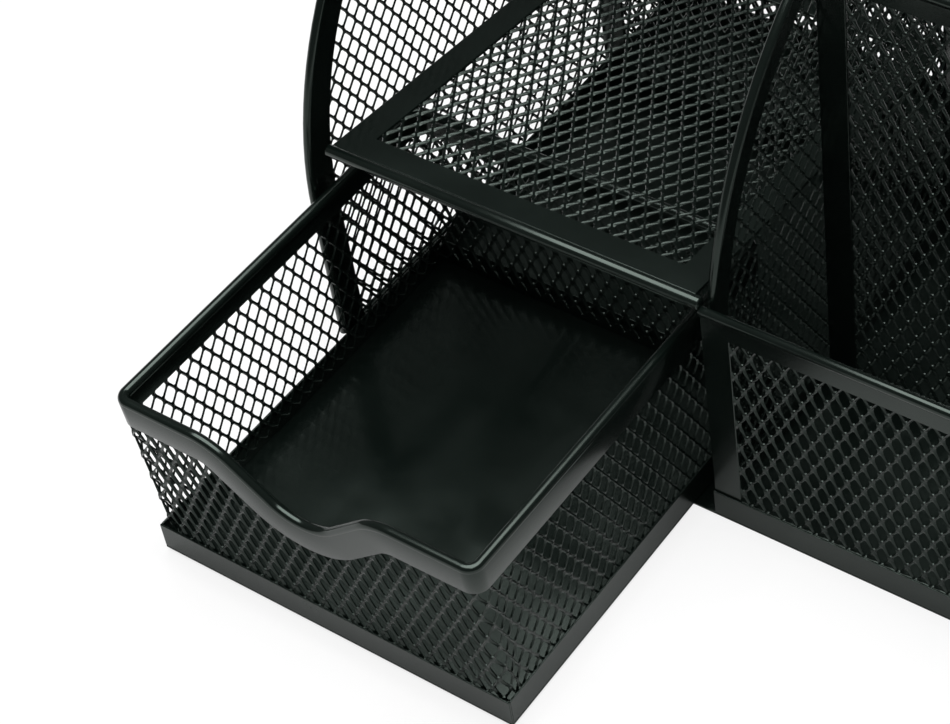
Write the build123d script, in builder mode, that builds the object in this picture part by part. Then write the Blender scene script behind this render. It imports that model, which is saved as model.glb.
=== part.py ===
from build123d import *
import math
import os

# Mesh pen stand with a pull-out drawer, in millimetres.
# +X to the right, +Y to the rear, +Z up. The origin is the centre of the flat base.
# Every wall is a diamond mesh sheet bound by a solid steel strip, with a rolled rim
# along its free edge, and both floors are plain plates. The drawer is drawn pulled out,
# as it stands at rest.

# ---- driving dimensions of the stand -------------------------------------------------
body_width = 220.0
body_depth = 150.0
body_height = 143.0
arc_start_z = 49.0  # the front edges of the side walls run straight up to here
left_reach = 2.5  # how far the left wall stands forward of the divider and the bin
bay_width = 104.75  # clear width of the drawer bay between the rims
bin_depth = 47.3  # clear depth of the open front bin
bin_height = 67.0
pen_wall_height = 128.0
slot_width = 35.0  # clear depth of the letter slot along the rear
shelf_front_z = 68.0  # top of the shelf at its front edge
shelf_rear_z = 56.7  # top of the shelf where it meets the slot wall
shelf_left_gap = 3.9
shelf_right_gap = 2.2

# ---- driving dimensions of the drawer ------------------------------------------------
drawer_width = 98.0
drawer_length = 110.1
drawer_height = 54.1
drawer_front_lean = 3.1
drawer_open = 75.0  # how far the drawer stands out at rest
drawer_front_set = 0.4  # how far behind the stand's front the closed drawer stops
finger_dip_depth = 15.0
finger_dip_radius = 13.5
finger_dip_slope = 42.0  # degrees
drawer_corner_radius = 2.5

# ---- sheet, strip and wire -----------------------------------------------------------
rim_d = 2.4  # rolled rim of the stand's walls
drawer_rim_d = 2.6
shelf_rim_d = 3.0
strip_t = 0.9  # binding strip, folded over the edge of the mesh
drawer_band_t = 0.8
mesh_t = 0.6
base_t = 0.6
tray_t = 0.6
flange_t = 0.5
border = 7.2  # width of the binding strip, rim included
side_border = 8.6  # the same on the two outer side walls
flange_height = 8.0
drawer_flange_height = 8.0
drawer_band_height = 6.0
foot_clearance = 0.3  # between the drawer's tray and the bay's floor
side_clearance = 0.8  # between the drawer's tray and the left wall's rim

# ---- diamond mesh --------------------------------------------------------------------
mesh_pitch = 4.2
mesh_rise = 7.6
mesh_strand = 0.75
cell_margin = 0.5
side_net_scale = 2.0  # the solids carry a coarser net on the larger walls
wide_net_scale = 2.5
pen_net_scale = 2.0
bin_net_scale = 1.5
shelf_net_scale = 1.6
drawer_net_scale = 1.4

# ---- places worked out from the sizes ------------------------------------------------
rim_r = rim_d / 2
front_y = -body_depth / 2
rear_y = body_depth / 2
left_x = -body_width / 2 + rim_r  # centre planes of the walls
right_x = body_width / 2 - rim_r
divider_x = left_x + rim_r + bay_width + rim_r
bin_front_y = front_y + rim_r
rear_wall_y = rear_y - rim_r
slot_wall_y = rear_wall_y - strip_t - slot_width
inner_front_y = bin_front_y + strip_t / 2
pen_wall_y = inner_front_y + bin_depth + strip_t / 2
pen_divider_x = (divider_x + right_x) / 2
arc_r = body_height - arc_start_z

bay_bottom_z = base_t + foot_clearance
drawer_left = left_x + rim_r + side_clearance  # outer faces of the drawer's walls
drawer_right = drawer_left + drawer_width
drawer_mid_x = (drawer_left + drawer_right) / 2
drawer_front_y = front_y + drawer_front_set - drawer_open
drawer_rear_y = drawer_front_y + drawer_length
drawer_top_z = bay_bottom_z + drawer_height
drawer_rim_r = drawer_rim_d / 2
drawer_rim_z = drawer_top_z - drawer_rim_r
band_top_z = drawer_top_z - drawer_rim_d
tray_floor_z = bay_bottom_z + tray_t
tray_lip_z = bay_bottom_z + drawer_flange_height
tray_front_y = drawer_front_y + drawer_front_lean - flange_t
lean_angle = math.degrees(math.atan2(drawer_front_lean, drawer_rim_z - tray_lip_z))

os.makedirs("parts", exist_ok=True)


def finish(piece, label):
    piece.part.label = label
    export_step(piece.part, "parts/" + label + ".step")


def wall_across(y):
    """A plane that faces the front: its own x is X and its own y is Z."""
    return Plane(origin=(0, y, 0), x_dir=(1, 0, 0), z_dir=(0, -1, 0))


def wall_along(x):
    """A plane that faces the right: its own x is Y and its own y is Z."""
    return Plane(origin=(x, 0, 0), x_dir=(0, 1, 0), z_dir=(1, 0, 0))


def rectangle(u0, v0, u1, v1):
    with BuildSketch() as area:
        with Locations(((u0 + u1) / 2, (v0 + v1) / 2)):
            Rectangle(u1 - u0, v1 - v0)
    return area.sketch


def polygon(points):
    with BuildSketch() as area:
        with BuildLine():
            Polyline(*points, close=True)
        make_face()
    return area.sketch


def side_profile(front, inset, bottom, rear):
    """The side wall's outline: straight up, a quarter arc, then level to the rear."""
    radius = arc_r - inset
    start = (front + inset, arc_start_z)
    top = (front + inset + radius, body_height - inset)
    with BuildSketch() as area:
        with BuildLine():
            Line((start[0], bottom), start)
            RadiusArc(start, top, radius)
            Line(top, (rear, top[1]))
            Line((rear, top[1]), (rear, bottom))
            Line((rear, bottom), (start[0], bottom))
        make_face()
    return area.sketch


def inside_side(front, inset, bottom, rear):
    """Tells whether a point of the side wall lies inside its window."""
    centre = (front + arc_r, arc_start_z)

    def test(u, v):
        if u > rear or v < bottom or u < front + inset or v > body_height - inset:
            return False
        if v > centre[1] and u < centre[0]:
            return math.dist((u, v), centre) < arc_r - inset
        return True

    return test


def inside_box(u0, v0, u1, v1):
    return lambda u, v: u0 < u < u1 and v0 < v < v1


def diamonds(inside, box, scale):
    """Tips of every mesh cell that lies wholly inside the outline, in staggered rows."""
    pitch = mesh_pitch * scale
    rise = mesh_rise * scale
    edge = math.hypot(pitch, rise) / 2
    half_u = pitch / 2 - mesh_strand * edge / rise
    half_v = rise / 2 - mesh_strand * edge / pitch
    middle_u = (box[0] + box[2]) / 2
    columns = int((box[2] - box[0]) / pitch) + 2
    rows = int(2 * (box[3] - box[1]) / rise) + 2
    cells = []
    for row in range(rows):
        v = box[1] + half_v + cell_margin + row * rise / 2
        for column in range(-columns, columns + 1):
            u = middle_u + (column + (row % 2) / 2) * pitch
            tips = [(u - half_u, v), (u, v - half_v), (u + half_u, v), (u, v + half_v)]
            spread = cell_margin
            probe = [(u - half_u - spread, v), (u, v - half_v - spread / 2)]
            probe += [(u + half_u + spread, v), (u, v + half_v + spread / 2)]
            if all(inside(*tip) for tip in probe):
                cells.append(tips)
    return cells


def net(label, plane, outline, cells, thickness=mesh_t, both=True):
    """One mesh sheet: the outline with a diamond hole for every cell."""
    holes = [Wire.make_polygon([Vector(*tip) for tip in tips], close=True) for tips in cells]
    sheet_face = Face(outline.face().outer_wire(), holes)
    with BuildPart() as sheet:
        with BuildSketch(plane):
            add(sheet_face)
        extrude(amount=thickness / 2 if both else thickness, both=both)
    finish(sheet, label)
    print(label, len(cells), "gaps")


def frame(label, plane, outline, window):
    """One binding strip: the wall's outline with its window cut out."""
    with BuildPart() as strip:
        with BuildSketch(plane):
            add(outline)
            add(window, mode=Mode.SUBTRACT)
        extrude(amount=strip_t / 2, both=True)
    finish(strip, label)


def plate(label, area, z0, z1):
    """A flat or upright strip of sheet between two heights."""
    with BuildPart() as strip:
        with BuildSketch(Plane.XY.offset(z0)):
            add(area)
        extrude(amount=z1 - z0)
    finish(strip, label)


def flanges(name, x0, y0, x1, y1, z0, z1):
    """Rear, left and right upturned flanges just inside a tray's outline."""
    plate(name + "_rear_flange", rectangle(x0, y1 - flange_t, x1, y1), z0, z1)
    plate(name + "_left_flange", rectangle(x0, y0, x0 + flange_t, y1 - flange_t), z0, z1)
    plate(name + "_right_flange", rectangle(x1 - flange_t, y0, x1, y1 - flange_t), z0, z1)


def straight_wire(label, start, end, diameter):
    with BuildPart() as wire:
        with BuildLine():
            Line(start, end)
        with BuildSketch(Plane(origin=start, z_dir=Vector(*end) - Vector(*start))):
            Circle(diameter / 2)
        sweep()
    finish(wire, label)


# ---- base: a plain floor plate with an upturned outer flange -------------------------
flange_left_x = left_x - strip_t / 2 - flange_t
flange_right_x = right_x + strip_t / 2 + flange_t
flange_front_y = bin_front_y - strip_t / 2 - flange_t
flange_rear_y = rear_wall_y + strip_t / 2 + flange_t
bin_left_x = divider_x - rim_r  # the bin's front wall covers the divider's front edge
base_outline = (flange_left_x, flange_front_y, flange_right_x, flange_rear_y)
plate("base_floor", rectangle(*base_outline), 0, base_t)
flanges("base", *base_outline, base_t, flange_height)
front_flange = rectangle(
    bin_left_x, flange_front_y, flange_right_x - flange_t, flange_front_y + flange_t
)
plate("base_front_flange", front_flange, base_t, flange_height)

# ---- three side walls: left, divider and right ---------------------------------------
side_rear_y = rear_wall_y - strip_t / 2
divider_rear_y = slot_wall_y - strip_t / 2
left_front_y = front_y - left_reach
side_walls = (
    ("left_side", left_x, left_front_y, side_rear_y, rear_wall_y - rim_r, side_border),
    ("divider", divider_x, inner_front_y, divider_rear_y, slot_wall_y - rim_r, border),
    ("right_side", right_x, inner_front_y, side_rear_y, rear_wall_y - rim_r, side_border),
)
for label, x, front, rear, rim_rear, width in side_walls:
    window_args = (front, width, base_t + border, rear - border)
    window = side_profile(*window_args)
    box = (front + width, base_t + border, rear - border, body_height - width)
    frame(label + "_frame", wall_along(x), side_profile(front, rim_d, base_t, rear), window)
    cells = diamonds(inside_side(*window_args), box, side_net_scale)
    net(label + "_mesh", wall_along(x), window, cells)
    rim_front = front + rim_r
    rim_foot_z = base_t if label == "divider" else flange_height
    arc_top = (rim_front + arc_r - rim_r, body_height - rim_r)
    with BuildPart() as side_rim:
        with BuildLine(wall_along(x)):
            Line((rim_front, rim_foot_z), (rim_front, arc_start_z))
            RadiusArc((rim_front, arc_start_z), arc_top, arc_r - rim_r)
            Line(arc_top, (rim_rear, arc_top[1]))
        with BuildSketch(Plane(origin=(x, rim_front, rim_foot_z), z_dir=(0, 0, 1))):
            Circle(rim_r)
        sweep()
    finish(side_rim, label + "_rim")


# ---- walls across the stand ----------------------------------------------------------
def cross_wall(label, y, x0, x1, top, scale, rim_x0, rim_x1):
    """A flat wall across the stand, with a rolled rim along its top edge."""
    outline = rectangle(x0, base_t, x1, top - rim_d)
    window = (x0 + border, base_t + border, x1 - border, top - border)
    frame(label + "_frame", wall_across(y), outline, rectangle(*window))
    cells = diamonds(inside_box(*window), window, scale)
    net(label + "_mesh", wall_across(y), rectangle(*window), cells)
    straight_wire(label + "_rim", (rim_x0, y, top - rim_r), (rim_x1, y, top - rim_r), rim_d)


left_face_x = left_x + strip_t / 2
right_face_x = right_x - strip_t / 2
divider_face_x = divider_x + strip_t / 2
rear_x0 = left_x - strip_t / 2
rear_x1 = right_x + strip_t / 2
cross_wall(
    "rear_wall", rear_wall_y, rear_x0, rear_x1, body_height, wide_net_scale, rear_x0, rear_x1
)
cross_wall(
    "slot_wall", slot_wall_y, left_face_x, right_face_x, body_height, wide_net_scale,
    left_x + rim_r, right_x - rim_r,
)
cross_wall(
    "pen_wall", pen_wall_y, divider_face_x, right_face_x, pen_wall_height, pen_net_scale,
    divider_face_x, right_face_x,
)
cross_wall(
    "bin_front", bin_front_y, bin_left_x, rear_x1, bin_height, bin_net_scale,
    bin_left_x, rear_x1,
)

# ---- partition between the two pen compartments --------------------------------------
partition_y0 = pen_wall_y + strip_t / 2
partition_y1 = slot_wall_y - strip_t / 2
partition_window = (partition_y0 + border, base_t + border)
partition_window += (partition_y1 - border, pen_wall_height - border)
partition_outline = rectangle(partition_y0, base_t, partition_y1, pen_wall_height - rim_d)
frame(
    "pen_partition_frame", wall_along(pen_divider_x), partition_outline,
    rectangle(*partition_window),
)
partition_cells = diamonds(inside_box(*partition_window), partition_window, pen_net_scale)
net(
    "pen_partition_mesh", wall_along(pen_divider_x), rectangle(*partition_window),
    partition_cells,
)
straight_wire(
    "pen_partition_rim",
    (pen_divider_x, pen_wall_y + rim_r, pen_wall_height - rim_r),
    (pen_divider_x, partition_y1, pen_wall_height - rim_r),
    rim_d,
)

# ---- shelf over the drawer bay, falling a little to the rear -------------------------
shelf_x0 = left_x + rim_r + shelf_left_gap
shelf_x1 = divider_x - rim_r - shelf_right_gap
shelf_y0 = front_y + shelf_rim_d
shelf_run = slot_wall_y - strip_t / 2 - shelf_y0
shelf_slope = math.atan2(shelf_front_z - shelf_rear_z, shelf_run)
shelf_length = shelf_run / math.cos(shelf_slope)
shelf_front = strip_t * math.tan(shelf_slope)  # clears the rim at the strip's lower face
shelf_normal = (0, math.sin(shelf_slope), math.cos(shelf_slope))
shelf_plane = Plane(
    origin=(0, shelf_y0, shelf_front_z), x_dir=(1, 0, 0), z_dir=shelf_normal
).offset(-strip_t / 2)
shelf_window = (shelf_x0 + border, border, shelf_x1 - border, shelf_length - border)
frame(
    "shelf_frame", shelf_plane, rectangle(shelf_x0, shelf_front, shelf_x1, shelf_length),
    rectangle(*shelf_window),
)
shelf_cells = diamonds(inside_box(*shelf_window), shelf_window, shelf_net_scale)
net("shelf_mesh", shelf_plane, rectangle(*shelf_window), shelf_cells)
shelf_rim_y = front_y + shelf_rim_d / 2
shelf_rim_z = shelf_front_z - strip_t / 2
straight_wire(
    "shelf_rim",
    (shelf_x0, shelf_rim_y, shelf_rim_z),
    (divider_x - rim_r, shelf_rim_y, shelf_rim_z),
    shelf_rim_d,
)

# ---- drawer tray: a plate with an upturned flange outside the mesh -------------------
tray_x0 = drawer_left - flange_t
tray_x1 = drawer_right + flange_t
tray_rear_y = drawer_rear_y + flange_t
tray_outline = (tray_x0, tray_front_y, tray_x1, tray_rear_y)
plate("drawer_floor", rectangle(*tray_outline), bay_bottom_z, tray_floor_z)
flanges(
    "drawer", tray_x0, tray_front_y + flange_t, tray_x1, tray_rear_y, tray_floor_z, tray_lip_z
)
tray_front_strip = rectangle(tray_x0, tray_front_y, tray_x1, tray_front_y + flange_t)
plate("drawer_front_flange", tray_front_strip, tray_floor_z, tray_lip_z)

# ---- drawer walls: mesh below, a plain band above, a rolled rim on top ---------------
lean = math.radians(lean_angle)
front_wall = Plane(
    origin=(0, tray_front_y + flange_t, tray_lip_z),
    x_dir=(1, 0, 0),
    z_dir=(0, -math.cos(lean), -math.sin(lean)),
)
front_low = (tray_floor_z - tray_lip_z) / math.cos(lean) + mesh_t * math.tan(lean)
front_rim_v = (drawer_rim_z - tray_lip_z) / math.cos(lean)
front_band_v = front_rim_v - drawer_rim_r
band_foot = drawer_rim_r + drawer_band_height  # from the rim's middle to the band's foot
front_mesh_v = front_rim_v - band_foot


def lean_y(z, depth):
    """Y of the front wall at a height, at a depth behind its outer face."""
    return tray_front_y + flange_t - (z - tray_lip_z) * math.tan(lean) + depth / math.cos(lean)


dip_slope = math.radians(finger_dip_slope)
dip_drop = finger_dip_radius * (1 - math.cos(dip_slope))
dip_ramp = (finger_dip_depth - 2 * dip_drop) / math.tan(dip_slope)
dip_half = 2 * finger_dip_radius * math.sin(dip_slope) + dip_ramp


def wave(below, x0, x1):
    """The rim's line lowered by a distance, with the finger dip parallel to the rim's."""
    level = front_rim_v - below
    crest = finger_dip_radius - below
    trough = finger_dip_radius + below
    crest_u = crest * math.sin(dip_slope)
    crest_v = level - crest * (1 - math.cos(dip_slope))
    trough_u = trough * math.sin(dip_slope)
    trough_v = level - finger_dip_depth + trough * (1 - math.cos(dip_slope))
    left = drawer_mid_x - dip_half
    right = drawer_mid_x + dip_half
    Line((x0, level), (left, level))
    RadiusArc((left, level), (left + crest_u, crest_v), crest)
    Line((left + crest_u, crest_v), (drawer_mid_x - trough_u, trough_v))
    RadiusArc((drawer_mid_x - trough_u, trough_v), (drawer_mid_x + trough_u, trough_v), -trough)
    Line((drawer_mid_x + trough_u, trough_v), (right - crest_u, crest_v))
    RadiusArc((right - crest_u, crest_v), (right, level), crest)
    Line((right, level), (x1, level))


def wave_height(u, below):
    """Height of that line above the front wall's origin at a place across the drawer."""
    crest = finger_dip_radius - below
    trough = finger_dip_radius + below
    level = front_rim_v - below
    away = abs(u - drawer_mid_x)
    if away >= dip_half:
        return level
    if away >= dip_half - crest * math.sin(dip_slope):
        return level - crest + math.sqrt(crest**2 - (dip_half - away) ** 2)
    if away <= trough * math.sin(dip_slope):
        return level - finger_dip_depth + trough - math.sqrt(trough**2 - away**2)
    foot = level - finger_dip_depth + trough * (1 - math.cos(dip_slope))
    return foot + (away - trough * math.sin(dip_slope)) * math.tan(dip_slope)


with BuildSketch() as front_mesh_outline:
    with BuildLine():
        wave(band_foot, drawer_left, drawer_right)
        Line((drawer_right, front_mesh_v), (drawer_right, front_low))
        Line((drawer_right, front_low), (drawer_left, front_low))
        Line((drawer_left, front_low), (drawer_left, front_mesh_v))
    make_face()
front_edge = max(mesh_t, drawer_band_t)


def inside_front(u, v):
    if not drawer_left + front_edge < u < drawer_right - front_edge:
        return False
    return front_low < v < wave_height(u, band_foot)


front_box = (drawer_left, front_low, drawer_right, front_mesh_v)
front_cells = diamonds(inside_front, front_box, drawer_net_scale)
front_mesh_plane = front_wall.offset(-mesh_t)
net(
    "drawer_front_mesh", front_mesh_plane, front_mesh_outline.sketch, front_cells,
    mesh_t, False,
)

with BuildPart() as drawer_front_band:
    with BuildSketch(front_wall.offset(-drawer_band_t)):
        with BuildLine():
            wave(drawer_rim_r, drawer_left, drawer_right)
            Line((drawer_right, front_band_v), (drawer_right, front_mesh_v))
            wave(band_foot, drawer_left, drawer_right)
            Line((drawer_left, front_mesh_v), (drawer_left, front_band_v))
        make_face()
    extrude(amount=drawer_band_t)
finish(drawer_front_band, "drawer_front_band")

mesh_top_z = band_top_z - drawer_band_height
for label, x, way in (("left", drawer_left, 1), ("right", drawer_right, -1)):
    low_y = lean_y(tray_floor_z, mesh_t)
    top_y = lean_y(mesh_top_z, mesh_t)
    outline = polygon(
        [(low_y, tray_floor_z), (drawer_rear_y, tray_floor_z), (drawer_rear_y, mesh_top_z),
         (top_y, mesh_top_z)]
    )
    box = (low_y, tray_floor_z, drawer_rear_y, mesh_top_z)
    cells = diamonds(inside_box(*box), box, drawer_net_scale)
    middle_x = x + way * mesh_t / 2
    net("drawer_" + label + "_mesh", wall_along(middle_x), outline, cells)
    band_low_y = lean_y(mesh_top_z, drawer_band_t)
    band_top_y = lean_y(band_top_z, drawer_band_t)
    with BuildPart() as side_band:
        with BuildSketch(wall_along(x + way * drawer_band_t / 2)):
            band_points = [(band_low_y, mesh_top_z), (drawer_rear_y, mesh_top_z)]
            band_points += [(drawer_rear_y, band_top_z), (band_top_y, band_top_z)]
            add(polygon(band_points))
        extrude(amount=drawer_band_t / 2, both=True)
    finish(side_band, "drawer_" + label + "_band")

rear_box = (drawer_left + mesh_t, tray_floor_z, drawer_right - mesh_t, mesh_top_z)
rear_cells = diamonds(inside_box(*rear_box), rear_box, drawer_net_scale)
net("drawer_rear_mesh", wall_across(drawer_rear_y - mesh_t / 2), rectangle(*rear_box), rear_cells)
with BuildPart() as drawer_rear_band:
    with BuildSketch(wall_across(drawer_rear_y - drawer_band_t / 2)):
        band_x0 = drawer_left + drawer_band_t
        band_x1 = drawer_right - drawer_band_t
        add(rectangle(band_x0, mesh_top_z, band_x1, band_top_z))
    extrude(amount=drawer_band_t / 2, both=True)
finish(drawer_rear_band, "drawer_rear_band")

# ---- drawer rim: one rolled edge in four lengths -------------------------------------
rim_x0 = drawer_left + drawer_rim_r
rim_x1 = drawer_right - drawer_rim_r
rim_rear_y = drawer_rear_y - drawer_rim_r
rim_front_wall = front_wall.offset(-drawer_rim_r)
rim_front_y = rim_front_wall.from_local_coords(Vector(0, front_rim_v, 0)).Y
corner = drawer_corner_radius

with BuildPart() as drawer_front_rim:
    with BuildLine(rim_front_wall):
        wave(0, rim_x0 + corner, rim_x1 - corner)
    with BuildSketch(Plane(origin=(rim_x0 + corner, rim_front_y, drawer_rim_z), z_dir=(1, 0, 0))):
        Circle(drawer_rim_r)
    sweep()
finish(drawer_front_rim, "drawer_front_rim")

side_wires = ((rim_x0, 1), (rim_x1, -1))
for label, (x, way) in zip(("left", "right"), side_wires):
    with BuildPart() as side_wire:
        with BuildLine(Plane.XY.offset(drawer_rim_z)):
            if way == 1:
                RadiusArc((x + corner, rim_front_y), (x, rim_front_y + corner), corner)
                Line((x, rim_front_y + corner), (x, rim_rear_y - corner))
                RadiusArc((x, rim_rear_y - corner), (x + corner, rim_rear_y), corner)
            else:
                RadiusArc((x - corner, rim_front_y), (x, rim_front_y + corner), -corner)
                Line((x, rim_front_y + corner), (x, rim_rear_y - corner))
                RadiusArc((x, rim_rear_y - corner), (x - corner, rim_rear_y), -corner)
        start = (x + way * corner, rim_front_y, drawer_rim_z)
        with BuildSketch(Plane(origin=start, z_dir=(-way, 0, 0))):
            Circle(drawer_rim_r)
        sweep()
    finish(side_wire, "drawer_" + label + "_rim")

straight_wire(
    "drawer_rear_rim",
    (rim_x0 + corner, rim_rear_y, drawer_rim_z),
    (rim_x1 - corner, rim_rear_y, drawer_rim_z),
    drawer_rim_d,
)
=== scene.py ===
import math

import bmesh
import bpy
from mathutils import Matrix, Vector


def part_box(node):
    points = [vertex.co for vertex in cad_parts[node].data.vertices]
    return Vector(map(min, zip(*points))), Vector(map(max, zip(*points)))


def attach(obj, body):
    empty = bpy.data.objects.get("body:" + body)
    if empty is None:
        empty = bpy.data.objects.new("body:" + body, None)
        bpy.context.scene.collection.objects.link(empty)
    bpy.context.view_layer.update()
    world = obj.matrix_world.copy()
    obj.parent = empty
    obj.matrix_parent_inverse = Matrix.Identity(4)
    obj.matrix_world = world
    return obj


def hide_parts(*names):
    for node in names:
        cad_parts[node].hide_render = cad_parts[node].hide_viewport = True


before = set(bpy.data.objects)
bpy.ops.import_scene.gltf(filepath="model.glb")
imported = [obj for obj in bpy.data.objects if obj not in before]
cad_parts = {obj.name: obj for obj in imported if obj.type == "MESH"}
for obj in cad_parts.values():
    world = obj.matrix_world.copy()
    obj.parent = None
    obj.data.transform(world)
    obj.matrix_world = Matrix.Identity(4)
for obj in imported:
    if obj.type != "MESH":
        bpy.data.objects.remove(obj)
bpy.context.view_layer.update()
MM = 0.001

# ---- black powder coat ---------------------------------------------------------------
# The whole stand is sprayed with one black powder and baked. It lies smooth and a little
# glossy on strips and rims, with the fine orange peel of powder, and it holds some dust.
BLACK = (0.0021, 0.0038, 0.0031)
GLOSS_TINT = (0.82, 1.0, 0.9, 1)  # the black has a hint of green, and so has its gloss
PATCH_SIZE = 18 * MM  # the coat is a little lighter and rougher in patches
PATCH_RANGE = (0.35, 0.75)
PATCH_GAIN = 1.3
PATCH_LIFT = 0.0003
DUST_GREY = (0.16, 0.165, 0.16, 1)
DUST_SLOPE = 0.2  # dust lies on what faces up by more than this
SPECK_SIZE = 0.9 * MM
SPECK_RANGE = (0.6, 0.85)
SPECK_SHARE = 0.8  # of the dust, the rest is an even film
ROUGH_PATCHES = 0.08
ROUGH_SPECKS = 0.05
ROUGH_TAKEN = 0.06  # about half of what patches and specks can add


class Value:
    """A shader socket that takes arithmetic: each operator adds its Math node."""

    def __init__(self, paint, socket):
        self.paint = paint
        self.socket = socket

    def maths(self, operation, *values):
        numbered = dict(enumerate(values))
        return self.paint.node("ShaderNodeMath", {"operation": operation}, numbered)

    def __add__(self, other):
        return self.maths("ADD", self, other)

    def __mul__(self, other):
        return self.maths("MULTIPLY", self, other)

    __radd__ = __add__
    __rmul__ = __mul__


class Paint:
    """One finish: its material, its shader and a single way of adding nodes."""

    def __init__(self, name, **constants):
        self.material = bpy.data.materials.new(name)
        self.material.use_nodes = True
        self.tree = self.material.node_tree
        self.shader = self.tree.nodes["Principled BSDF"]
        for socket, value in constants.items():
            self.shader.inputs[socket.replace("_", " ")].default_value = value

    def node(self, kind, settings, inputs, output=0):
        node = self.tree.nodes.new(kind)
        for key, value in settings.items():
            setattr(node, key, value)
        for key, value in inputs.items():
            if isinstance(value, Value):
                self.tree.links.new(value.socket, node.inputs[key])
            else:
                node.inputs[key].default_value = value
        return Value(self, node.outputs[output])

    def noise(self, size, detail, roughness=0.5):
        """Noise on the piece's own coordinates, with grains of about that size in metres."""
        place = self.node("ShaderNodeTexCoord", {}, {}, "Object")
        inputs = {"Vector": place, "Scale": 1 / size, "Detail": detail, "Roughness": roughness}
        return self.node("ShaderNodeTexNoise", {}, inputs, "Fac")

    def spread(self, value, low, high):
        """The value's stretch from low to high, spread over 0 to 1 and cut off outside."""
        inputs = {"Value": value, "From Min": low, "From Max": high}
        return self.node("ShaderNodeMapRange", {}, inputs)

    def mix(self, factor, first, second):
        """Two colours mixed: inputs 6 and 7 and output 2 are the Mix node's colour sockets."""
        return self.node("ShaderNodeMix", {"data_type": "RGBA"}, {0: factor, 6: first, 7: second}, 2)

    def feed(self, socket, value):
        self.tree.links.new(value.socket, self.shader.inputs[socket])


def powder_coat(name, roughness, gloss, peel_size, peel_height, dust):
    """Black paint with orange peel of a given size and height, and a little dust."""
    paint = Paint(name, Specular_IOR_Level=gloss, Specular_Tint=GLOSS_TINT)
    lighter = (*(PATCH_GAIN * c + PATCH_LIFT for c in BLACK), 1)
    patches = paint.spread(paint.noise(PATCH_SIZE, 3), *PATCH_RANGE)
    specks = paint.spread(paint.noise(SPECK_SIZE, 4, 0.7), *SPECK_RANGE)
    normal = paint.node("ShaderNodeNewGeometry", {}, {}, "Normal")
    upward = paint.node("ShaderNodeSeparateXYZ", {}, {"Vector": normal}, "Z")
    cover = specks * SPECK_SHARE + (1 - SPECK_SHARE)
    film = paint.spread(upward, DUST_SLOPE, 1.0) * cover * dust
    paint.feed("Base Color", paint.mix(film, paint.mix(patches, (*BLACK, 1), lighter), DUST_GREY))
    uneven = patches * ROUGH_PATCHES + specks * ROUGH_SPECKS
    paint.feed("Roughness", uneven + (roughness - ROUGH_TAKEN))
    bump = {"Height": paint.noise(peel_size, 2), "Strength": 1.0, "Distance": peel_height}
    paint.feed("Normal", paint.node("ShaderNodeBump", {}, bump))
    return paint.material


# ---- walls' mesh ---------------------------------------------------------------------
# Every wall is filled with expanded steel sheet: slit, pulled open and powder coated. Its
# strands meet in short upright bonds and lean like the slats of a blind, so that the mesh
# looks open from one side and nearly closed from the other.
mesh_paint = powder_coat(
    "mesh powder coat", roughness=0.28, gloss=0.4, peel_size=0.8 * MM, peel_height=0.008 * MM,
    dust=0.004,
)
CELL_WIDTH = 4.2 * MM
CELL_HEIGHT = 7.7 * MM
BOND_HEIGHT = 0.9 * MM
BOND_EXTRA = 0.12 * MM  # how much further a bond reaches into each gap beside it
STRAND_WIDTH = 0.6 * MM  # seen square on
STRAND_LEAN = 0.37 * MM  # how far a strand's two edges lie apart in depth
STRAND_THICKNESS = 0.44 * MM
GAP_ROUND = 0.5 * MM
GAP_CORNERS = 12  # a gap's six corners are each cut into two
TIP_SHARE = 1 / 8  # of a cell's width: corners no further aside are its tips
MESH_TUCK = 1.6 * MM  # how far a cell's middle may lie under the binding strip
PRESSED = 0.2 * MM  # how much lean is left where the strip presses the mesh flat
CELL_MERGE = 0.02 * MM


def cell_sheet(width, height, cell_width, cell_height, beyond):
    """Whole six-sided cells, flat about the middle. beyond tells how far a point lies
    outside the wall's window."""
    sheet = bmesh.new()
    columns = math.ceil(width / cell_width / 2) + 2
    rows = math.ceil(height / cell_height) + 2
    side = cell_width / 2
    foot = BOND_HEIGHT / 2
    tip = (cell_height - BOND_HEIGHT) / 2
    corners = ((side, -foot), (side, foot), (0, tip), (-side, foot), (-side, -foot), (0, -tip))
    for row in range(-rows, rows + 1):
        for column in range(-columns, columns + 1):
            place = Vector(((column + row % 2 / 2) * cell_width, row * cell_height / 2, 0))
            if beyond(place) < MESH_TUCK:
                cell = [sheet.verts.new(place + Vector((*corner, 0))) for corner in corners]
                sheet.faces.new(cell)
    bmesh.ops.remove_doubles(sheet, verts=sheet.verts, dist=CELL_MERGE)
    return sheet


def open_cells(sheet, beyond):
    """Opens a rounded gap in every cell and leans the strands between the gaps. Outside the
    window they are pressed flat."""
    gaps = sheet.faces[:]
    bmesh.ops.inset_individual(sheet, faces=gaps, thickness=STRAND_WIDTH / 2)
    for gap in gaps:
        middle = gap.calc_center_median()
        for vert in gap.verts:
            aside = vert.co.x - middle.x
            if abs(aside) > CELL_WIDTH * TIP_SHARE:
                vert.co.x -= math.copysign(BOND_EXTRA, aside)
                vert.co.z += math.copysign(STRAND_LEAN, aside)
    corners = list({vert for gap in gaps for vert in gap.verts})
    bmesh.ops.bevel(
        sheet, geom=corners, offset=GAP_ROUND, segments=1, profile=0.5, material=-1,
        affect="VERTICES",
    )
    for vert in sheet.verts:
        if beyond(vert.co) > 0:
            vert.co.z = min(max(vert.co.z, -PRESSED), PRESSED)
    opened = [face for face in sheet.faces if len(face.verts) == GAP_CORNERS]
    bmesh.ops.delete(sheet, geom=opened, context="FACES_ONLY")


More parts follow.
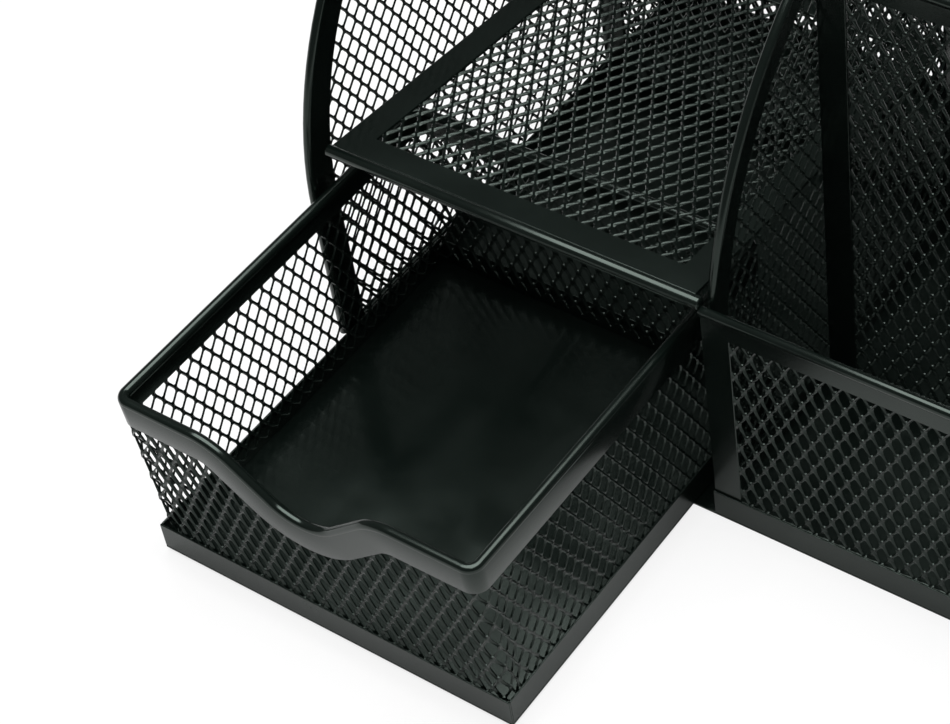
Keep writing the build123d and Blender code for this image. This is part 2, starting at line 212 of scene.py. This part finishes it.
def piece(name, mesh, paint, body, slot, *nodes):
    """Makes the finished mesh an object that rides on its body for the CAD nodes."""
    data = bpy.data.meshes.new(name)
    mesh.to_mesh(data)
    mesh.free()
    data.materials.append(paint)
    made = bpy.data.objects.new(name, data)
    bpy.context.scene.collection.objects.link(made)
    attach(made, body)
    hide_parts(*nodes)
    return made


def thicken(made):
    """Gives the sheet of strands its thickness."""
    solid = made.modifiers.new("thickness", "SOLIDIFY")
    solid.thickness = STRAND_THICKNESS
    solid.offset = 0


def middle_of(node):
    low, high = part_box(node)
    return (low + high) / 2


def net(node, u, v, size, beyond=None, cell_height=CELL_HEIGHT):
    """One of the stand's meshes, which lies along u and v about the middle of its node."""
    width, height = size

    def beyond_window(point):
        return max(abs(point.x) - width / 2, abs(point.y) - height / 2)

    beyond = beyond or beyond_window
    sheet = cell_sheet(width, height, CELL_WIDTH, cell_height, beyond)
    open_cells(sheet, beyond)
    turn = Matrix((u, v, u.cross(v))).transposed().to_4x4()
    place = Matrix.Translation(middle_of(node)) @ turn
    bmesh.ops.transform(sheet, matrix=place, verts=sheet.verts)
    bmesh.ops.recalc_face_normals(sheet, faces=sheet.faces)
    thicken(piece(node + ".fine", sheet, mesh_paint, "organizer", "black_mesh", node))


X, Y, Z = Vector((1, 0, 0)), Vector((0, 1, 0)), Vector((0, 0, 1))
for wall in ("rear_wall_mesh", "slot_wall_mesh", "pen_wall_mesh", "bin_front_mesh"):
    low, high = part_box(wall)
    net(wall, X, Z, (high.x - low.x, high.z - low.z))
low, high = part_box("pen_partition_mesh")
net("pen_partition_mesh", Y, Z, (high.y - low.y, high.z - low.z))

# ---- side walls' mesh ----------------------------------------------------------------
# The two sides and the divider are cut to a quarter round in front, so their mesh stops
# at that curve, under the strip. It is pulled a little less, so its cells are lower.
ARC_START = 49 * MM  # the front edges run straight up to here
SIDE_CELL_HEIGHT = 6.9 * MM


def side_net(node):
    low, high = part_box(node)
    width = high.y - low.y
    height = high.z - low.z
    radius = high.z - ARC_START
    centre = middle_of(node)
    arc_middle = Vector((low.y + radius - centre.y, ARC_START - centre.z))

    def beyond_side(point):
        beyond = max(abs(point.x) - width / 2, abs(point.y) - height / 2)
        if point.x < arc_middle.x and point.y > arc_middle.y:
            beyond = max(beyond, (point.xy - arc_middle).length - radius)
        return beyond

    net(node, Y, Z, (width, height), beyond_side, SIDE_CELL_HEIGHT)


for wall in ("left_side_mesh", "divider_mesh", "right_side_mesh"):
    side_net(wall)

# ---- shelf's mesh --------------------------------------------------------------------
# The shelf falls a little to the rear. Its mesh lies in the strip frame's own plane, and
# its cells are as low as those of the side walls.
SHELF_SHEET = 0.6 * MM  # the CAD mesh's thickness, which its box's height includes
low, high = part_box("shelf_mesh")
shelf_slope = math.atan((high.z - low.z - SHELF_SHEET) / (high.y - low.y))
shelf_down = Vector((0, math.cos(shelf_slope), -math.sin(shelf_slope)))
shelf_size = (high.x - low.x, (high.y - low.y) / math.cos(shelf_slope))
net("shelf_mesh", X, shelf_down, shelf_size, cell_height=SIDE_CELL_HEIGHT)

# ---- strips --------------------------------------------------------------------------
# Flat steel strips bind the mesh on all its edges. Each is folded over the mesh, so its
# edges are round.
strip_paint = powder_coat(
    "strip powder coat", roughness=0.25, gloss=0.44, peel_size=1.6 * MM,
    peel_height=0.006 * MM, dust=0.004,
)
STRIP_ROUND = 0.26 * MM
FACE_MERGE = 0.002 * MM
FLAT = math.radians(1)  # faces that turn by less are one flat face
SHARP = math.radians(40)  # edges that turn by more are rounded


def smooth_faces(mesh):
    for face in mesh.faces:
        face.smooth = True


def rounded_copy(node, width, paint, body):
    """The node's own shape with its faces joined flat and its edges rounded."""
    mesh = bmesh.new()
    mesh.from_mesh(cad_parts[node].data)
    bmesh.ops.remove_doubles(mesh, verts=mesh.verts, dist=FACE_MERGE)
    bmesh.ops.dissolve_limit(
        mesh, angle_limit=FLAT, verts=mesh.verts, edges=mesh.edges, delimit={"NORMAL"}
    )
    corners = [e for e in mesh.edges if e.is_manifold and e.calc_face_angle() > SHARP]
    bmesh.ops.bevel(
        mesh, geom=corners, offset=width, segments=2, profile=0.5, material=-1,
        affect="EDGES", clamp_overlap=True,
    )
    smooth_faces(mesh)
    made = piece(node + ".rounded", mesh, paint, body, "black_strip", node)
    weighted = made.modifiers.new("flat faces", "WEIGHTED_NORMAL")
    weighted.keep_sharp = True


for strip in sorted(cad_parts):
    if strip.endswith("_frame"):
        rounded_copy(strip, STRIP_ROUND, strip_paint, "organizer")

# ---- trays ---------------------------------------------------------------------------
# The stand and the drawer each stand in a shallow tray folded from smooth sheet steel. Its
# flanges stand outside the mesh, and its floor is glossier than the strips.
tray_paint = powder_coat(
    "tray powder coat", roughness=0.19, gloss=0.6, peel_size=3.0 * MM, peel_height=0.004 * MM,
    dust=0.004,
)
FOLD_ROUND = 0.15 * MM
for body, tray in (("organizer", "base"), ("drawer", "drawer")):
    rounded_copy(tray + "_floor", FOLD_ROUND, tray_paint, body)
    for side in ("front", "left", "right", "rear"):
        rounded_copy(tray + "_" + side + "_flange", FOLD_ROUND, strip_paint, body)

# ---- rolled rims ---------------------------------------------------------------------
# The free edge of every wall is rolled into a round bead, which the powder coat leaves
# glossy along its crest.
rim_paint = powder_coat(
    "rim powder coat", roughness=0.2, gloss=0.45, peel_size=2.2 * MM, peel_height=0.005 * MM,
    dust=0.003,
)
RIM_SIDES = 20
ARC_STEP = math.radians(3)
END_ROUND = 0.3 * MM


def ring(radius, start, direction):
    """A new mesh with one circle, ready to be drawn along."""
    mesh = bmesh.new()
    turn = direction.to_track_quat("Z", "Y").to_matrix().to_4x4()
    bmesh.ops.create_circle(
        mesh, segments=RIM_SIDES, radius=radius, matrix=Matrix.Translation(start) @ turn
    )
    return mesh, mesh.edges[:]


def draw_straight(mesh, edges, step):
    """Draws the open end on by a straight length and returns the new end."""
    made = bmesh.ops.extrude_edge_only(mesh, edges=edges)["geom"]
    verts = [g for g in made if isinstance(g, bmesh.types.BMVert)]
    bmesh.ops.translate(mesh, vec=step, verts=verts)
    return [g for g in made if isinstance(g, bmesh.types.BMEdge) and not g.link_faces[1:]]


def draw_round(mesh, edges, centre, axis, angle):
    """Draws the open end round an arc and returns the new end."""
    steps = max(2, round(abs(angle) / ARC_STEP))
    verts = list({v for e in edges for v in e.verts})
    made = bmesh.ops.spin(
        mesh, geom=verts + edges, cent=centre, axis=axis, angle=angle, steps=steps,
        dvec=(0, 0, 0), use_merge=False, use_duplicate=False,
    )["geom_last"]
    return [g for g in made if isinstance(g, bmesh.types.BMEdge)]


def close_ends(mesh):
    """Closes both open ends and rounds them."""
    ends = [e for e in mesh.edges if e.is_boundary]
    made = bmesh.ops.holes_fill(mesh, edges=ends, sides=0)["faces"]
    bmesh.ops.recalc_face_normals(mesh, faces=mesh.faces)
    bmesh.ops.bevel(
        mesh, geom=[e for face in made for e in face.edges], offset=END_ROUND, segments=2,
        profile=0.5, material=-1, affect="EDGES",
    )
    smooth_faces(mesh)


def rim_along(node, axis):
    """A straight rim from end to end of the node's box, along X or Y."""
    low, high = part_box(node)
    radius = (high.z - low.z) / 2
    length = (high - low).dot(axis)
    mesh, edges = ring(radius, middle_of(node) - axis * length / 2, axis)
    draw_straight(mesh, edges, axis * length)
    close_ends(mesh)
    piece(node + ".rolled", mesh, rim_paint, "organizer", "black_rim", node)


def rim_over_side(node):
    """A side wall's rim: up the front edge, round the quarter and back along the top."""
    low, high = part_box(node)
    radius = (high.x - low.x) / 2
    start = Vector(((low.x + high.x) / 2, low.y + radius, low.z))
    bend = high.z - ARC_START - radius
    arc_middle = Vector((start.x, start.y + bend, ARC_START))
    mesh, edges = ring(radius, start, Z)
    edges = draw_straight(mesh, edges, Z * (ARC_START - low.z))
    edges = draw_round(mesh, edges, arc_middle, X, -math.pi / 2)
    draw_straight(mesh, edges, Y * (high.y - arc_middle.y))
    close_ends(mesh)
    piece(node + ".rolled", mesh, rim_paint, "organizer", "black_rim", node)


for rim in ("rear_wall_rim", "slot_wall_rim", "pen_wall_rim", "bin_front_rim", "shelf_rim"):
    rim_along(rim, X)
rim_along("pen_partition_rim", Y)
for rim in ("left_side_rim", "divider_rim", "right_side_rim"):
    rim_over_side(rim)

# ---- drawer: rim and band ------------------------------------------------------------
# One rolled bead runs round the drawer over a plain band. In front both dip in a wave,
# where a finger pulls the drawer. The front leans out a little towards its top.
DIP_DEPTH = 15 * MM
DIP_RADIUS = 13.5 * MM
DIP_SLOPE = math.radians(42)
CORNER = 2.5 * MM  # of the bead's middle
FRONT_LEAN = 3.1 * MM
LEAN_WHOLE = 1.3 * MM  # up to this far behind the bead's middle the lean is whole
LEAN_END = 7 * MM  # and from here on there is none
OUTLINE_MERGE = 0.02 * MM
BAND_THICKNESS = 1.0 * MM
BAND_ROUND = 0.35 * MM
rim_low, rim_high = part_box("drawer_left_rim")
drawer_rim_r = (rim_high.z - rim_low.z) / 2
rim_z = rim_high.z - drawer_rim_r
left = rim_low.x + drawer_rim_r
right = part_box("drawer_right_rim")[1].x - drawer_rim_r
front = rim_low.y + drawer_rim_r
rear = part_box("drawer_rear_rim")[1].y - drawer_rim_r
middle = (left + right) / 2
lean_slope = FRONT_LEAN / (rim_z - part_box("drawer_front_flange")[1].z)
dip_drop = DIP_RADIUS * (1 - math.cos(DIP_SLOPE))
dip_rise = DIP_DEPTH - 2 * dip_drop
dip_ramp = dip_rise / math.tan(DIP_SLOPE)
dip_half = 2 * DIP_RADIUS * math.sin(DIP_SLOPE) + dip_ramp


def lean_front(mesh):
    """Tips the front wall outwards at its top, less and less round the corners."""
    for vert in mesh.verts:
        share = (front + LEAN_END - vert.co.y) / (LEAN_END - LEAN_WHOLE)
        vert.co.y += min(max(share, 0), 1) * (rim_z - vert.co.z) * lean_slope


def draw_round_drawer(mesh, edges):
    """Draws a section standing at the middle of the rear once round the drawer."""
    quarter = math.pi / 2
    edges = draw_straight(mesh, edges, X * -(middle - left - CORNER))
    edges = draw_round(mesh, edges, Vector((left + CORNER, rear - CORNER, 0)), Z, quarter)
    edges = draw_straight(mesh, edges, Y * -(rear - front - 2 * CORNER))
    edges = draw_round(mesh, edges, Vector((left + CORNER, front + CORNER, 0)), Z, quarter)
    edges = draw_straight(mesh, edges, X * (middle - dip_half - left - CORNER))
    crest = Vector((middle - dip_half, front, rim_z - DIP_RADIUS))
    edges = draw_round(mesh, edges, crest, Y, DIP_SLOPE)
    edges = draw_straight(mesh, edges, Vector((dip_ramp, 0, -dip_rise)))
    trough = Vector((middle, front, rim_z - DIP_DEPTH + DIP_RADIUS))
    edges = draw_round(mesh, edges, trough, Y, -2 * DIP_SLOPE)
    edges = draw_straight(mesh, edges, Vector((dip_ramp, 0, dip_rise)))
    crest = Vector((middle + dip_half, front, rim_z - DIP_RADIUS))
    edges = draw_round(mesh, edges, crest, Y, DIP_SLOPE)
    edges = draw_straight(mesh, edges, X * (right - CORNER - middle - dip_half))
    edges = draw_round(mesh, edges, Vector((right - CORNER, front + CORNER, 0)), Z, quarter)
    edges = draw_straight(mesh, edges, Y * (rear - front - 2 * CORNER))
    edges = draw_round(mesh, edges, Vector((right - CORNER, rear - CORNER, 0)), Z, quarter)
    draw_straight(mesh, edges, X * -(right - CORNER - middle))
    bmesh.ops.remove_doubles(mesh, verts=mesh.verts, dist=OUTLINE_MERGE)
    lean_front(mesh)
    bmesh.ops.recalc_face_normals(mesh, faces=mesh.faces)
    smooth_faces(mesh)


rim, rim_end = ring(drawer_rim_r, Vector((middle, rear, rim_z)), -X)
draw_round_drawer(rim, rim_end)
piece("drawer_rim.rolled", rim, rim_paint, "drawer", "black_rim", "drawer_front_rim",
      "drawer_left_rim", "drawer_rear_rim", "drawer_right_rim")

band_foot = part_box("drawer_rear_band")[0].z
band_y = rear + drawer_rim_r - BAND_THICKNESS / 2
band_place = Matrix.Translation((middle, band_y, (rim_z + band_foot) / 2))
band_size = Matrix.Diagonal((1, BAND_THICKNESS, rim_z - band_foot, 1))
upright = Matrix.Rotation(math.pi / 2, 4, "Y")
band = bmesh.new()
bmesh.ops.create_grid(
    band, x_segments=1, y_segments=1, size=0.5, matrix=band_place @ band_size @ upright
)
bmesh.ops.bevel(
    band, geom=band.verts[:], offset=BAND_ROUND, segments=3, profile=0.5, material=-1,
    affect="VERTICES",
)
bmesh.ops.delete(band, geom=band.faces[:], context="FACES_ONLY")
draw_round_drawer(band, band.edges[:])
piece("drawer_band.folded", band, strip_paint, "drawer", "black_strip", "drawer_front_band",
      "drawer_left_band", "drawer_rear_band", "drawer_right_band")

# ---- drawer: mesh --------------------------------------------------------------------
# One strip of the same mesh is bent round the four corners of the drawer. Its top is held
# in the band, and its foot is cut off and turned in over the tray's floor.
FOOT_HEIGHT = 5.2 * MM  # from here down the mesh is turned in
FOOT_REACH = 1 * MM  # how far below that a cell's middle may lie
FOOT_TURN = 0.4  # how far the foot goes in for each length of mesh
FOOT_DROP = 0.2  # and how far down
ROW_DROP = 1.1 * MM  # the top row's middle lies this far below the band's foot
STRIP_END = 0.01 * MM  # keeps the first cell from being made again at the strip's end
STRIP_MERGE = 0.05 * MM
inset = drawer_rim_r - BAND_THICKNESS / 2
wrap_left = left - inset
wrap_right = right + inset
wrap_front = front - inset
wrap_rear = rear + inset
wrap_corner = CORNER + inset
wrap_width = wrap_right - wrap_left - 2 * wrap_corner
wrap_depth = wrap_rear - wrap_front - 2 * wrap_corner
wrap_turn = wrap_corner * math.pi / 2
wrap_length = 2 * (wrap_width + wrap_depth) + 4 * wrap_turn
wrap_cell = wrap_length / round(wrap_length / CELL_WIDTH)
mesh_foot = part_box("drawer_rear_mesh")[0].z
mesh_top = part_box("drawer_rear_mesh")[1].z
row_line = mesh_top - ROW_DROP


def around_drawer(distance):
    """The place and the outward direction at a distance along the wall, from front left."""
    corners = (
        (wrap_left + wrap_corner, wrap_front + wrap_corner, -90, wrap_width),
        (wrap_right - wrap_corner, wrap_front + wrap_corner, 0, wrap_depth),
        (wrap_right - wrap_corner, wrap_rear - wrap_corner, 90, wrap_width),
        (wrap_left + wrap_corner, wrap_rear - wrap_corner, 180, wrap_depth),
    )
    distance %= wrap_length
    for number, (x, y, facing, straight) in enumerate(corners):
        outward = Vector((math.cos(math.radians(facing)), math.sin(math.radians(facing))))
        if distance <= straight:
            along = Vector((-outward.y, outward.x))
            return Vector((x, y)) + outward * wrap_corner + along * distance, outward
        distance -= straight
        if distance <= wrap_turn:
            turned = math.radians(facing) + distance / wrap_corner
            outward = Vector((math.cos(turned), math.sin(turned)))
            x, y = corners[(number + 1) % 4][:2]
            return Vector((x, y)) + outward * wrap_corner, outward
        distance -= wrap_turn
    return around_drawer(0)


def band_foot_at(distance):
    """Height of the band's foot at a distance along the wall."""
    away = abs(distance % wrap_length - wrap_width / 2)
    crest = DIP_RADIUS - (rim_z - mesh_top)
    trough = DIP_RADIUS + (rim_z - mesh_top)
    if away > dip_half:
        return mesh_top
    if away > dip_half - crest * math.sin(DIP_SLOPE):
        return mesh_top - crest + math.sqrt(crest**2 - (dip_half - away) ** 2)
    if away < trough * math.sin(DIP_SLOPE):
        return mesh_top - DIP_DEPTH + trough - math.sqrt(trough**2 - away**2)
    foot = mesh_top - DIP_DEPTH + trough * (1 - math.cos(DIP_SLOPE))
    return foot + (away - trough * math.sin(DIP_SLOPE)) * math.tan(DIP_SLOPE)


def beyond_drawer_wall(point):
    """How far a point lies above the band's foot. What is too low for a cell's middle is
    beyond the wall as well."""
    height = point.y + row_line
    if height < FOOT_HEIGHT - FOOT_REACH:
        return MESH_TUCK
    return height - band_foot_at(point.x + wrap_length / 2)


def beyond_drawer_strip(point):
    """The same for a cell's middle, which also lies within the strip's length."""
    if not 0 <= point.x + wrap_length / 2 < wrap_length - STRIP_END:
        return MESH_TUCK
    return beyond_drawer_wall(point)


wall_sheet = cell_sheet(
    wrap_length, 2 * (mesh_top - mesh_foot), wrap_cell, CELL_HEIGHT, beyond_drawer_strip
)
open_cells(wall_sheet, beyond_drawer_wall)
for vert in wall_sheet.verts:
    place, outward = around_drawer(vert.co.x + wrap_length / 2)
    height = vert.co.y + row_line
    below = max(FOOT_HEIGHT - height, 0)
    depth = vert.co.z - below * FOOT_TURN
    vert.co = Vector((*(place + outward * depth), height + below * (1 - FOOT_DROP)))
bmesh.ops.remove_doubles(wall_sheet, verts=wall_sheet.verts, dist=STRIP_MERGE)
lean_front(wall_sheet)
bmesh.ops.recalc_face_normals(wall_sheet, faces=wall_sheet.faces)
thicken(piece("drawer_mesh.fine", wall_sheet, mesh_paint, "drawer", "black_mesh",
              "drawer_front_mesh", "drawer_left_mesh", "drawer_rear_mesh",
              "drawer_right_mesh"))

# ---- floor and light -----------------------------------------------------------------
# A white sweep under one large overhead softbox in a dim room. It looks white to the
# camera and still takes the stand's shadow.
FLOOR_SIZE = 4
FLOOR_DROP = 0.02 * MM  # keeps it clear of the base
FLOOR_WHITE = (0.58, 0.58, 0.58, 1)
FLOOR_GLOW = 1.1  # seen by the camera alone
FLOOR_GLOW_SHARE = 0.72
ROOM_LIGHT = 0.14  # the camera alone sees the room as white
LAMP_HEIGHT = 2.2
LAMP_SIZE = 2.2
LAMP_POWER = 95

sheet = bmesh.new()
bmesh.ops.create_grid(
    sheet, x_segments=1, y_segments=1, size=FLOOR_SIZE,
    matrix=Matrix.Translation((0, 0, -FLOOR_DROP)),
)
floor_mesh = bpy.data.meshes.new("floor")
sheet.to_mesh(floor_mesh)
sheet.free()
ground = bpy.data.objects.new("floor", floor_mesh)
bpy.context.scene.collection.objects.link(ground)

sweep = Paint("white floor", Base_Color=FLOOR_WHITE, Roughness=0.9, Specular_IOR_Level=0.1)
seen = sweep.node("ShaderNodeLightPath", {}, {}, "Is Camera Ray")
glow = sweep.node("ShaderNodeEmission", {}, {"Color": (1, 1, 1, 1), "Strength": FLOOR_GLOW})
lit = Value(sweep, sweep.shader.outputs[0])
both = sweep.node("ShaderNodeMixShader", {}, {0: seen * FLOOR_GLOW_SHARE, 1: lit, 2: glow})
output = sweep.tree.nodes["Material Output"]
sweep.tree.links.new(both.socket, output.inputs["Surface"])
floor_mesh.materials.append(sweep.material)

world = bpy.data.worlds.new("studio")
world.use_nodes = True
bpy.context.scene.world = world
background = world.node_tree.nodes["Background"]
background.inputs["Color"].default_value = (1, 1, 1, 1)
rays = world.node_tree.nodes.new("ShaderNodeLightPath")
strength = world.node_tree.nodes.new("ShaderNodeMapRange")
strength.inputs["To Min"].default_value = ROOM_LIGHT
strength.inputs["To Max"].default_value = 1.0
world.node_tree.links.new(rays.outputs["Is Camera Ray"], strength.inputs["Value"])
world.node_tree.links.new(strength.outputs[0], background.inputs["Strength"])

lamp = bpy.data.lights.new("overhead", "AREA")
lamp.shape = "RECTANGLE"
lamp.size = LAMP_SIZE
lamp.size_y = LAMP_SIZE
lamp.energy = LAMP_POWER
overhead = bpy.data.objects.new("overhead", lamp)
overhead.location = (0, 0, LAMP_HEIGHT)
bpy.context.scene.collection.objects.link(overhead)

# ---- camera --------------------------------------------------------------------------
# The camera stands in front and to the right, looking down on the drawer, and is tilted a
# little to one side. Its shift places the drawer in the picture.
CAMERA_PLACE = (0.22666, -0.38647, 0.46011)
AZIMUTH = math.radians(38.759)
ELEVATION = math.radians(44.855)
ROLL = math.radians(6.832)
lens = bpy.data.cameras.new("camera")
lens.lens = 99.07
lens.shift_x = -0.15
lens.shift_y = -0.075
lens.clip_start = 0.05
camera = bpy.data.objects.new("camera", lens)
bpy.context.scene.collection.objects.link(camera)
bpy.context.scene.camera = camera
ahead = Vector((
    -math.sin(AZIMUTH) * math.cos(ELEVATION),
    math.cos(AZIMUTH) * math.cos(ELEVATION),
    -math.sin(ELEVATION),
))
beside = Vector((math.cos(AZIMUTH), math.sin(AZIMUTH), 0))
above = beside.cross(ahead)
tilted_beside = beside * math.cos(ROLL) - above * math.sin(ROLL)
tilted_above = beside * math.sin(ROLL) + above * math.cos(ROLL)
turn = Matrix((tilted_beside, tilted_above, -ahead)).transposed().to_4x4()
camera.matrix_world = Matrix.Translation(CAMERA_PLACE) @ turn

bpy.context.scene.view_settings.view_transform = "Standard"
